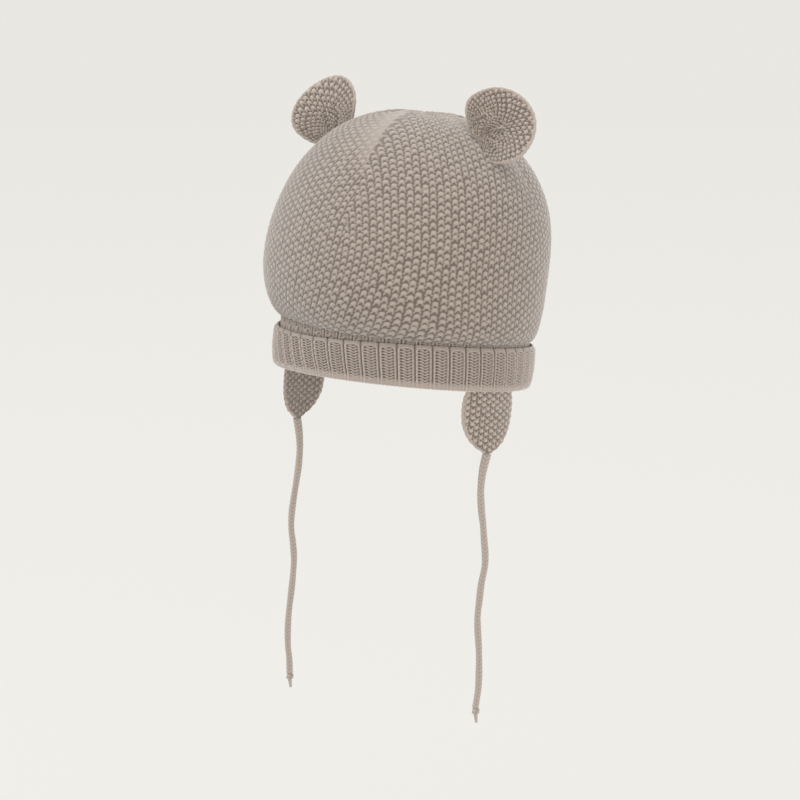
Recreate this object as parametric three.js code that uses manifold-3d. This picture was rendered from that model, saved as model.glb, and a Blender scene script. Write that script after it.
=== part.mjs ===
import * as THREE from 'three';
import { mergeVertices } from 'three/addons/utils/BufferGeometryUtils.js';
import Module from 'manifold-3d';

// A knitted baby hat with two ears, a folded-up ribbed brim, two ear flaps and two knitted ties.
// Millimetres, +Z up, front of the hat towards -Y, wearer's left towards +X.
// The origin is the middle of the head opening, level with the fold at the bottom of the brim.

const wasm = await Module();
wasm.setup();

// Brim: a ribbed band folded up outside itself.
const BRIM_BREADTH = 149;
const BRIM_LENGTH = 131;
const CUFF_HEIGHT = 23.5;
const BAND_SHOW = 4;
const SHOW_TURN_DEG = -25;
const SHOW_SPREAD_DEG = 42;
const RIB_WALL = 2.6;
const CUFF_SLOT = 0.8;
const CUFF_TUCK = 1.8;
const CUFF_EDGE = 1;
const RIB_COUNT = 48;
const RIB_DEPTH = 0.8;

// Crown: a full dome of seed stitch.
const CROWN_BREADTH = 162;
const CROWN_LENGTH = 141;
const CROWN_HEIGHT = 143.5;
const CROWN_WIDEST_HEIGHT = 61;
const CROWN_FULLNESS = 2.22;
const CROWN_WALL = 3;
const CROWN_LEAN = 6;
const CROWN_LEAN_HEIGHT = 50;
const CROWN_LEAN_SPREAD = 38;
const CROWN_BACK_SET = 1.2;
const CROWN_LEAN_RISE = 14;

// Gathers and pucker where the crown is drawn together at its top, as shares of its half width.
const GATHER_COUNT = 12;
const GATHER_DEPTH = 1.6;
const GATHER_PLACE = 0.2;
const GATHER_SPREAD = 0.13;

// Four lines of decreases run up the crown and pull it in a little.
const DECREASE_LINES = 4;
const DECREASE_DEPTH = 1;
const DECREASE_TURN_DEG = 12.5;
const DECREASE_SPREAD = 0.3;
const DECREASE_FADE_POWER = 1.8;

// Ears: two-layer round ears, dished to the front and narrower at the neck.
const EAR_WIDTH = 41;
const EAR_HEIGHT = 43;
const EAR_THICKNESS = 6;
const EAR_CUP = 7;
const EAR_CUP_SET = 0.35;
const EAR_NECK = 0.22;
const EAR_LIFT = 0.36;

// Flaps: tongues knitted on below the fold, with round edges, a little before the middle of each side.
const FLAP_TURN_DEG = 85;
const FLAP_WIDTH = 39;
const FLAP_DROP = 32;
const FLAP_THICKNESS = 2.8;
const FLAP_EDGE_POWER = 0.6;

// Ties: knitted cords with a knot at the end.
const TIE_DIAMETER = 3.6;
const KNOT_DIAMETER = 4.4;
const KNOT_LENGTH = 9;

// The hat sits on the head with its front edge raised.
const FRONT_RAISE_DEG = 7;

// Air left between two pieces that are sewn or knitted to each other.
const SEAM_GAP = 0.3;

// Mesh density.
const CROWN_STEPS = 64;
const CROWN_OUTER_ROWS = 16;
const CROWN_INNER_ROWS = 12;
const CROWN_ROW_CROWDING = 0.92;
const CROWN_LAST_CLIMB = 0.97;
const STEPS_PER_RIB = 4;
const EAR_STEPS = 24;
const EAR_ROWS = 5;
const EAR_RIM_GAP = 0.4;
const NORMAL_STEP = 0.01;
const FLAP_CORNERS = 12;
const TIE_SIDES = 8;
const TIE_STEP = 2.2 * TIE_DIAMETER;
const KNOT_SIDES = 10;

// Each ear's seat on the crown: side of the head (+1 left), turn from the front, climb from the widest
// ring (0) to the apex (1), lean to the back, and twist of the ear about its own height.
const EARS = [
  { name: 'ear_left', side: 1, turnDeg: 76, climb: 0.555, leanDeg: 17, twistDeg: 2 },
  { name: 'ear_right', side: -1, turnDeg: 70, climb: 0.555, leanDeg: 14, twistDeg: 20 },
];

// Half width of a flap down its length, from the fold to near the tip: drop share and width share.
const FLAP_OUTLINE = [
  { drop: 0.0, width: 0.85 },
  { drop: 0.1, width: 0.95 },
  { drop: 0.23, width: 1.0 },
  { drop: 0.39, width: 1.0 },
  { drop: 0.56, width: 0.96 },
  { drop: 0.7, width: 0.84 },
  { drop: 0.8, width: 0.71 },
  { drop: 0.89, width: 0.52 },
  { drop: 0.96, width: 0.3 },
];

// Soft dents and swells of the crown: turn from the front, climb, half width in degrees and in climb,
// and depth in millimetres, negative where the knit swells outwards.
const CROWN_DENTS = [
  { turnDeg: 62, climb: 0.52, spreadDeg: 12, spreadClimb: 0.12, depth: 2.2 },
  { turnDeg: -62, climb: 0.52, spreadDeg: 12, spreadClimb: 0.12, depth: 1.6 },
  { turnDeg: 100, climb: 0.42, spreadDeg: 14, spreadClimb: 0.14, depth: 1.6 },
  { turnDeg: -100, climb: 0.42, spreadDeg: 14, spreadClimb: 0.14, depth: 1.6 },
  { turnDeg: 30, climb: -0.5, spreadDeg: 26, spreadClimb: 0.2, depth: -1.2 },
  { turnDeg: 150, climb: -0.45, spreadDeg: 24, spreadClimb: 0.25, depth: 1.2 },
  { turnDeg: -150, climb: -0.4, spreadDeg: 24, spreadClimb: 0.25, depth: 1.0 },
];

// Routes of the ties below the tips of the flaps, in millimetres: sway across and drop.
const TIE_LEFT_ROUTE = [
  [0, 0], [-1.3, 5], [-2.3, 10], [-3.0, 16], [-3.2, 22], [-2.8, 30], [-1.9, 38], [-1.3, 46],
  [-0.7, 54], [-0.9, 61], [-2.6, 70], [-3.6, 79], [-4.5, 88], [-4.3, 97], [-3.7, 107],
  [-3.6, 118], [-4.0, 128], [-5.4, 138],
];
const TIE_RIGHT_ROUTE = [
  [0, 0], [0.8, 6], [1.3, 12], [1.4, 18], [0.8, 26], [-0.3, 34], [-1.9, 44], [-3.3, 54],
  [-3.7, 63], [-2.8, 72], [-2.3, 81], [-3.0, 91], [-4.1, 101], [-5.4, 112], [-6.1, 122],
  [-6.1, 131], [-5.4, 139], [-5.2, 147.5],
];
const TIE_SWAY_TURN_DEG = 43;

// Knot from its top to its frayed end, as shares of its half width and its length.
const KNOT_PROFILE = [
  { radius: 0, drop: 0 },
  { radius: 0.62, drop: 0 },
  { radius: 1, drop: 0.16 },
  { radius: 1, drop: 0.36 },
  { radius: 0.72, drop: 0.52 },
  { radius: 0.74, drop: 0.72 },
  { radius: 0.6, drop: 0.9 },
  { radius: 0, drop: 1 },
];

const YARN = { color: 0xa89a8c, roughness: 0.95, metalness: 0 };
const RIB_YARN = { color: 0xa49688, roughness: 0.95, metalness: 0 };
const TIE_YARN = { color: 0xaa9c8f, roughness: 0.92, metalness: 0 };

const radians = THREE.MathUtils.degToRad;

// One ring of points, seen as a function of the turn from the front.
function ring(steps, pointAt) {
  const points = [];
  for (let step = 0; step < steps; step += 1) {
    points.push(pointAt((2 * Math.PI * step) / steps));
  }
  return points;
}

// Joins rings of equal count one to the next. With ends, each end closes on a point.
// Without ends, the last ring joins the first.
function solidOfRings(rings, startPoint, endPoint) {
  const count = rings[0].length;
  const points = rings.flat();
  const faces = [];
  const loops = startPoint ? rings.length - 1 : rings.length;
  for (let row = 0; row < loops; row += 1) {
    const here = row * count;
    const next = ((row + 1) % rings.length) * count;
    for (let step = 0; step < count; step += 1) {
      const after = (step + 1) % count;
      faces.push(here + step, next + step, next + after);
      faces.push(here + step, next + after, here + after);
    }
  }
  if (startPoint) {
    const first = points.length;
    const last = (rings.length - 1) * count;
    points.push(startPoint, endPoint);
    for (let step = 0; step < count; step += 1) {
      const after = (step + 1) % count;
      faces.push(first, step, after);
      faces.push(first + 1, last + after, last + step);
    }
  }
  return outward(points, faces);
}

// Makes the geometry with its faces pointing out, whichever way the rings ran.
function outward(points, faces) {
  let volume = 0;
  const normal = new THREE.Vector3();
  for (let face = 0; face < faces.length; face += 3) {
    const [a, b, c] = faces.slice(face, face + 3).map((index) => points[index]);
    volume += normal.crossVectors(b, c).dot(a);
  }
  const order = volume > 0 ? [0, 1, 2] : [0, 2, 1];
  const turned = [];
  for (let face = 0; face < faces.length; face += 3) {
    turned.push(...order.map((corner) => faces[face + corner]));
  }
  const places = points.flatMap((point) => [point.x, point.y, point.z]);
  const geometry = new THREE.BufferGeometry();
  geometry.setAttribute('position', new THREE.Float32BufferAttribute(places, 3));
  geometry.setIndex(turned);
  return geometry;
}

function bump(distance, spread) {
  return Math.exp(-((distance / spread) ** 2));
}

function turnBetween(turn, other) {
  const difference = turn - other;
  return Math.abs(Math.atan2(Math.sin(difference), Math.cos(difference)));
}

// How much of the inner band shows above the cuff: all at the front, none at the sides and back.
function bandTop(turn) {
  const share = bump(turnBetween(turn, radians(SHOW_TURN_DEG)), radians(SHOW_SPREAD_DEG));
  return CUFF_HEIGHT + SEAM_GAP + BAND_SHOW * share;
}

// Crown: a superellipse above its widest ring, and another that curls in below it to the band.
const BAND_INSET = 2 * RIB_WALL + CUFF_SLOT;
const FOLD_INSET = (BAND_INSET + CUFF_TUCK) / 2;
const LIP_BREADTH = BRIM_BREADTH - 2 * BAND_INSET;
const LIP_LENGTH = BRIM_LENGTH - 2 * BAND_INSET;

// The dome bellies forwards in its lower half and stands a little back at the top.
function crownLean(height, aboveLip) {
  const belly = CROWN_LEAN * bump(height - CROWN_LEAN_HEIGHT, CROWN_LEAN_SPREAD) - CROWN_BACK_SET;
  return belly * (1 - Math.exp(-Math.max(aboveLip, 0) / CROWN_LEAN_RISE));
}

function crownOuter(turn, climb) {
  const angle = (Math.abs(climb) * Math.PI) / 2;
  const across = Math.max(Math.cos(angle), 0) ** (2 / CROWN_FULLNESS);
  const along = Math.sin(angle) ** (2 / CROWN_FULLNESS);
  let halfBreadth = (CROWN_BREADTH / 2) * across;
  let halfLength = (CROWN_LENGTH / 2) * across;
  let height = CROWN_WIDEST_HEIGHT + (CROWN_HEIGHT - CROWN_WIDEST_HEIGHT) * along;
  if (climb < 0) {
    const lip = bandTop(turn) + SEAM_GAP;
    halfBreadth += (LIP_BREADTH / 2) * (1 - across);
    halfLength += (LIP_LENGTH / 2) * (1 - across);
    height = CROWN_WIDEST_HEIGHT - (CROWN_WIDEST_HEIGHT - lip) * along;
  }
  const closing = climb > 0 ? GATHER_DEPTH : 0;
  const folds = (1 - Math.cos(GATHER_COUNT * turn)) / 2;
  const gathers = closing * bump(across - GATHER_PLACE, GATHER_SPREAD) * folds;
  const pucker = closing * bump(across, GATHER_SPREAD);
  const lineFade = Math.sin(Math.PI * Math.max(climb, 0) ** DECREASE_FADE_POWER);
  const fromLine = Math.sin((DECREASE_LINES * (turn - radians(DECREASE_TURN_DEG))) / 2);
  let sink = DECREASE_DEPTH * lineFade * bump(fromLine, DECREASE_SPREAD);
  for (const dent of CROWN_DENTS) {
    const aside = turnBetween(turn, radians(dent.turnDeg));
    sink += dent.depth * bump(aside, radians(dent.spreadDeg)) * bump(climb - dent.climb, dent.spreadClimb);
  }
  const shrink = 1 - sink / (CROWN_BREADTH / 2);
  const lean = crownLean(height, height - bandTop(turn) - SEAM_GAP);
  return new THREE.Vector3(
    halfBreadth * shrink * Math.sin(turn),
    -halfLength * shrink * Math.cos(turn) - lean,
    height - gathers - pucker,
  );
}

// Outward direction of the crown's surface, by small steps along both of its lines.
function crownNormal(turn, climb) {
  const low = Math.max(climb - NORMAL_STEP, -1 + NORMAL_STEP / 100);
  const high = Math.min(climb + NORMAL_STEP, 1);
  const around = crownOuter(turn + NORMAL_STEP, climb).sub(crownOuter(turn - NORMAL_STEP, climb));
  const up = crownOuter(turn, high).sub(crownOuter(turn, low));
  return around.cross(up).normalize();
}

function crownInset(turn, climb, depth) {
  return crownOuter(turn, climb).addScaledVector(crownNormal(turn, climb), -depth);
}

// Climb of each row, closer together where the dome turns over at the lip.
function crownClimbs(rows) {
  const climbs = [];
  for (let row = 0; row < rows; row += 1) {
    const share = (row / (rows - 1)) ** CROWN_ROW_CROWDING;
    climbs.push(-1 + (1 + CROWN_LAST_CLIMB) * share);
  }
  return climbs;
}

function crownGeometry() {
  const outer = crownClimbs(CROWN_OUTER_ROWS).map((climb) => (
    ring(CROWN_STEPS, (turn) => crownOuter(turn, climb))
  ));
  const inner = crownClimbs(CROWN_INNER_ROWS).map((climb) => (
    ring(CROWN_STEPS, (turn) => crownInset(turn, climb, CROWN_WALL))
  ));
  const apex = crownOuter(0, 1);
  const innerApex = apex.clone().setZ(apex.z - CROWN_WALL);
  return solidOfRings([...outer.reverse(), ...inner], apex, innerApex);
}

// The crown's outer form, a little larger and closed below, to trim what is sewn on it.
function crownTrimmer() {
  const rows = crownClimbs(CROWN_OUTER_ROWS * 2).map((climb) => (
    ring(CROWN_STEPS, (turn) => crownInset(turn, climb, -SEAM_GAP))
  ));
  const apex = crownOuter(0, 1);
  return solidOfRings(rows.reverse(), apex.setZ(apex.z + SEAM_GAP), new THREE.Vector3(0, 0, CUFF_HEIGHT));
}

// Brim: section of the folded band, as inset from the outer face, height and share of the rib's
// depth, walked round once from the cuff's top edge, down its face, round the fold and back.
function brimSection(turn) {
  const foldRadius = BAND_INSET / 2;
  const slotTop = BAND_INSET;
  const top = bandTop(turn);
  return [
    { inset: RIB_WALL, height: CUFF_HEIGHT - CUFF_EDGE },
    { inset: RIB_WALL / 2, height: CUFF_HEIGHT },
    { inset: CUFF_EDGE / 2, height: CUFF_HEIGHT - CUFF_EDGE, rib: 0.5 },
    { inset: 0, height: CUFF_HEIGHT * 0.8, rib: 1 },
    { inset: 0, height: CUFF_HEIGHT * 0.5, rib: 1 },
    { inset: CUFF_TUCK * 0.3, height: foldRadius, rib: 1 },
    { inset: CUFF_TUCK * 0.6 + foldRadius * 0.3, height: foldRadius * 0.3, rib: 0.6 },
    { inset: FOLD_INSET, height: 0 },
    { inset: BAND_INSET, height: foldRadius },
    { inset: BAND_INSET, height: top },
    { inset: RIB_WALL + CUFF_SLOT, height: top },
    { inset: RIB_WALL + CUFF_SLOT, height: slotTop },
    { inset: RIB_WALL + CUFF_SLOT / 2, height: slotTop - CUFF_SLOT / 2 },
    { inset: RIB_WALL, height: slotTop },
  ];
}

// Depth of the rib pattern: a narrow deep groove between two ridges, then a broad shallow ladder.
function ribDepth(turn) {
  const phase = ((turn * RIB_COUNT) / (2 * Math.PI)) % 1;
  const quarter = Math.round(phase * STEPS_PER_RIB) % STEPS_PER_RIB;
  return RIB_DEPTH * [1, 0, 0.55, 0][quarter];
}

function brimGeometry() {
  const steps = RIB_COUNT * STEPS_PER_RIB;
  const rows = brimSection(0).length;
  const rings = [];
  for (let row = 0; row < rows; row += 1) {
    rings.push(ring(steps, (turn) => {
      const { inset, height, rib = 0 } = brimSection(turn)[row];
      const depth = inset + rib * ribDepth(turn);
      return new THREE.Vector3(
        (BRIM_BREADTH / 2 - depth) * Math.sin(turn),
        -(BRIM_LENGTH / 2 - depth) * Math.cos(turn),
        height,
      );
    }));
  }
  return solidOfRings(rings);
}

// Ear: a round two-layer pad, dished to the front, sunk on the crown and trimmed by it.
function earFrame(ear) {
  const turn = ear.side * radians(ear.turnDeg);
  const seat = crownOuter(turn, ear.climb);
  const normal = crownNormal(turn, ear.climb);
  normal.y = 0;
  normal.normalize();
  const widthways = new THREE.Vector3(normal.z * ear.side, 0, -normal.x * ear.side);
  const lean = radians(ear.leanDeg);
  const heightways = normal.clone().multiplyScalar(Math.cos(lean));
  heightways.y = Math.sin(lean);
  widthways.applyAxisAngle(heightways, radians(ear.twistDeg));
  const forwards = new THREE.Vector3().crossVectors(heightways, widthways).multiplyScalar(-ear.side);
  return { seat, widthways, heightways, forwards };
}

function earPoint(ear, frame, angle, share, face) {
  const halfWidth = EAR_WIDTH / 2;
  const halfHeight = EAR_HEIGHT / 2;
  const across = Math.sin(angle) * share;
  const up = Math.cos(angle) * share;
  const neck = 1 - EAR_NECK * Math.max(-up, 0) ** 1.5;
  const cup = EAR_CUP * (across ** 2 - EAR_CUP_SET + EAR_CUP_SET * Math.max(up, 0) ** 2);
  const thickness = (EAR_THICKNESS / 2) * Math.sqrt(Math.max(1 - share ** 4, 0));
  return frame.seat.clone()
    .addScaledVector(frame.widthways, halfWidth * neck * across)
    .addScaledVector(frame.heightways, halfHeight * up + EAR_HEIGHT * EAR_LIFT)
    .addScaledVector(frame.forwards, cup + face * thickness);
}

function earGeometry(ear) {
  const frame = earFrame(ear);
  const rings = [];
  for (const face of [1, -1]) {
    const shares = [];
    for (let row = 1; row <= EAR_ROWS; row += 1) {
      shares.push(Math.sin((row / (EAR_ROWS + EAR_RIM_GAP)) * (Math.PI / 2)));
    }
    if (face < 0) {
      shares.reverse();
    }
    for (const share of shares) {
      rings.push(ring(EAR_STEPS, (angle) => earPoint(ear, frame, angle, share, face)));
    }
    if (face > 0) {
      rings.push(ring(EAR_STEPS, (angle) => earPoint(ear, frame, angle, 1, 0)));
    }
  }
  const front = earPoint(ear, frame, 0, 0, 1);
  const back = earPoint(ear, frame, 0, 0, -1);
  return cutAway(solidOfRings(rings, front, back), crownTrimmer());
}

function manifoldOf(geometry) {
  const plain = geometry.clone();
  plain.deleteAttribute('normal');
  plain.deleteAttribute('uv');
  const merged = mergeVertices(plain, 1e-4);
  return new wasm.Manifold(new wasm.Mesh({
    numProp: 3,
    vertProperties: merged.attributes.position.array,
    triVerts: new Uint32Array(merged.index.array),
  }));
}

function cutAway(body, tool) {
  const kept = manifoldOf(body).subtract(manifoldOf(tool));
  const mesh = kept.getMesh();
  const geometry = new THREE.BufferGeometry();
  geometry.setAttribute('position', new THREE.BufferAttribute(mesh.vertProperties, 3));
  geometry.setIndex(new THREE.BufferAttribute(mesh.triVerts, 1));
  return geometry;
}

// Flap: a tongue that starts at the lowest line of the fold and follows the round of the brim.
function flapPoint(side, across, drop, depth) {
  const halfBreadth = BRIM_BREADTH / 2 - FOLD_INSET + depth;
  const halfLength = BRIM_LENGTH / 2 - FOLD_INSET + depth;
  const turn = side * radians(FLAP_TURN_DEG) + (side * across) / ((halfBreadth + halfLength) / 2);
  return new THREE.Vector3(halfBreadth * Math.sin(turn), -halfLength * Math.cos(turn), -drop);
}

function flapGeometry(side) {
  const rings = FLAP_OUTLINE.map(({ drop, width }) => ring(FLAP_CORNERS, (angle) => {
    const across = (FLAP_WIDTH / 2) * width * Math.cos(angle);
    const face = Math.sign(Math.sin(angle)) * Math.abs(Math.sin(angle)) ** FLAP_EDGE_POWER;
    return flapPoint(side, across, SEAM_GAP + drop * FLAP_DROP, (FLAP_THICKNESS / 2) * face);
  }));
  return solidOfRings(rings, flapPoint(side, 0, SEAM_GAP, 0), flapTip(side));
}

function flapTip(side) {
  return flapPoint(side, 0, SEAM_GAP + FLAP_DROP, 0);
}

// Ties hang plumb, so their points are set below the tips of the raised hat.
function tiePoints(side) {
  const start = flapTip(side).applyEuler(HAT_POSE);
  start.z -= SEAM_GAP;
  const turn = radians(TIE_SWAY_TURN_DEG);
  const swayways = new THREE.Vector3(Math.cos(turn), Math.sin(turn), 0);
  const route = side > 0 ? TIE_LEFT_ROUTE : TIE_RIGHT_ROUTE;
  return route.map(([sway, drop]) => start.clone().addScaledVector(swayways, sway).setZ(start.z - drop));
}

function tieGeometry(side) {
  const path = new THREE.CatmullRomCurve3(tiePoints(side));
  const section = new THREE.Shape();
  for (let corner = 0; corner < TIE_SIDES; corner += 1) {
    const angle = (2 * Math.PI * corner) / TIE_SIDES;
    const x = (TIE_DIAMETER / 2) * Math.cos(angle);
    const y = (TIE_DIAMETER / 2) * Math.sin(angle);
    if (corner === 0) {
      section.moveTo(x, y);
    } else {
      section.lineTo(x, y);
    }
  }
  return new THREE.ExtrudeGeometry(section, {
    steps: Math.round(path.getLength() / TIE_STEP),
    extrudePath: path,
    bevelEnabled: false,
  });
}

function knotGeometry() {
  const profile = KNOT_PROFILE.map(({ radius, drop }) => (
    new THREE.Vector2((radius * KNOT_DIAMETER) / 2, -drop * KNOT_LENGTH)
  ));
  const knot = new THREE.LatheGeometry(profile.reverse(), KNOT_SIDES);
  knot.rotateX(Math.PI / 2);
  return knot;
}

function mesh(name, geometry, yarn) {
  const piece = new THREE.Mesh(geometry, new THREE.MeshStandardMaterial(yarn));
  piece.name = name;
  return piece;
}

const HAT_POSE = new THREE.Euler(-radians(FRONT_RAISE_DEG), 0, 0);

// Everything that follows the head is one group, raised at the front.
function wornPieces() {
  const worn = new THREE.Group();
  worn.rotation.copy(HAT_POSE);
  worn.add(mesh('crown', crownGeometry(), YARN));
  worn.add(mesh('brim', brimGeometry(), RIB_YARN));
  for (const ear of EARS) {
    worn.add(mesh(ear.name, earGeometry(ear), YARN));
  }
  worn.add(mesh('flap_left', flapGeometry(1), YARN));
  worn.add(mesh('flap_right', flapGeometry(-1), YARN));
  return worn;
}

function hangingPieces() {
  const hanging = new THREE.Group();
  for (const [side, name] of [[1, 'left'], [-1, 'right']]) {
    hanging.add(mesh(`tie_${name}`, tieGeometry(side), TIE_YARN));
    const knot = mesh(`tie_knot_${name}`, knotGeometry(), TIE_YARN);
    knot.position.copy(tiePoints(side).at(-1)).z -= SEAM_GAP;
    hanging.add(knot);
  }
  return hanging;
}

const hat = new THREE.Group();
hat.add(wornPieces(), hangingPieces());

export default hat;
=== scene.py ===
"""A knitted baby hat: seed-stitch crown, turned-up ribbed brim, two cupped ears, two ear flaps and ties.

Every surface is a function of two parameters, worked out with numpy as whole arrays.
Sizes in the classes are millimetres in the hat's own frame, where the front is -Y and the wearer's
left is +X; HatForm.worn turns them to the raised pose in metres.
"""
import logging
from dataclasses import dataclass, field
from enum import Enum

import bpy
import numpy as np
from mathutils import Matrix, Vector


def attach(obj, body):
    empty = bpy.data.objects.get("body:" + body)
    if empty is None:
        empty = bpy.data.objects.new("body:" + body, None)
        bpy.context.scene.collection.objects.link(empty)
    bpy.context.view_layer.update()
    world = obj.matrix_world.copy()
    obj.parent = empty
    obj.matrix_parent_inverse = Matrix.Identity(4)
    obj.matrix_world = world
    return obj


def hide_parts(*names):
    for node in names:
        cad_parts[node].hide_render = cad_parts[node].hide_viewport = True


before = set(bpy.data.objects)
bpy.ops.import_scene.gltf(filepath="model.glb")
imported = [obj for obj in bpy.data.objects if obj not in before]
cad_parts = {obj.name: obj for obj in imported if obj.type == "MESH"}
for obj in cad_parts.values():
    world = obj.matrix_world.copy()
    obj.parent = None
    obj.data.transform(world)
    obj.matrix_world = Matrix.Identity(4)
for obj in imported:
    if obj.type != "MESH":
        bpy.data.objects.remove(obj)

LOG = logging.getLogger("baby_hat")
Array = np.ndarray
Material = bpy.types.Material
Socket = bpy.types.NodeSocket
Tree = bpy.types.NodeTree
MM = 0.001
FULL_TURN = 2 * np.pi
QUARTER_TURN = np.pi / 2
STITCH_MAP = "stitch"
RELIEF_NAME = "relief"
NO_STITCH = np.zeros(2)
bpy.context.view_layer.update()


def bump(distance: Array, spread: float) -> Array:
    """exp(-(distance / spread)^2): one in the middle, nothing a few spreads away."""
    return np.exp(-np.square(distance / spread))


def turn_between(turn: Array, other: float) -> Array:
    """The angle between two turns, from 0 to half a turn."""
    return np.abs(np.arctan2(np.sin(turn - other), np.cos(turn - other)))


def step_up(value: Array, low: float, high: float) -> Array:
    """A smooth step: 0 below low, 1 above high, and 3t^2 - 2t^3 between them."""
    share = np.clip((value - low) / (high - low), 0, 1)
    return share * share * (3 - 2 * share)


def unit(vectors: Array) -> Array:
    """The vectors at length one."""
    return vectors / np.maximum(np.linalg.norm(vectors, axis=-1, keepdims=True), 1e-12)


def blend(first: Array, second: Array | float, share: Array) -> Array:
    """The first where share is 0, the second where it is 1, and a mix between them."""
    return first * (1 - share) + second * share


def run_along(line: Array) -> Array:
    """How far along a line each of its points lies."""
    return np.concatenate([[0], np.cumsum(np.linalg.norm(np.diff(line, axis=0), axis=1))])


def on_oval(turn: Array, half_breadth: Array, half_length: Array, height: Array) -> Array:
    """Points at a turn from the front: half breadth by its sine, half length by its cosine, height."""
    return np.stack([half_breadth * np.sin(turn), -half_length * np.cos(turn), height + 0 * turn], axis=-1)


def tube(line: Array, first: Array, second: Array, radius: Array, corner: Array) -> Array:
    """Rings round a line: line + radius (cos(corner) first + sin(corner) second)."""
    spokes = np.cos(corner)[:, None] * first[:, None] + np.sin(corner)[:, None] * second[:, None]
    return line[:, None] + radius[..., None] * spokes


def grid_normals(points: Array, wrap: bool) -> Array:
    """Unit directions of a grid: its difference around crossed with its difference upwards.

    Columns follow the growing turn and rows run upwards. Wrap joins the last column to the first.
    """
    if wrap:
        around = np.roll(points, -1, axis=1) - np.roll(points, 1, axis=1)
    else:
        around = np.gradient(points, axis=1)
    return unit(np.cross(around, np.gradient(points, axis=0)))


class Side(Enum):
    """The wearer's left or right side; the value is the sign of X there."""

    LEFT = 1
    RIGHT = -1

    @property
    def word(self) -> str:
        """The side's name in lower case, as the nodes have it."""
        return self.name.lower()


@dataclass(frozen=True)
class Dent:
    """A soft dent of the crown, or a swell where its depth is negative."""

    turn_deg: float
    climb: float
    spread_deg: float
    spread_climb: float
    depth: float


DENTS = (
    Dent(62, 0.52, 12, 0.12, 2.2),
    Dent(-62, 0.52, 12, 0.12, 1.6),
    Dent(100, 0.42, 14, 0.14, 1.6),
    Dent(-100, 0.42, 14, 0.14, 1.6),
    Dent(30, -0.5, 26, 0.2, -1.2),
    Dent(150, -0.45, 24, 0.25, 1.2),
    Dent(-150, -0.4, 24, 0.25, 1.0),
)


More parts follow.
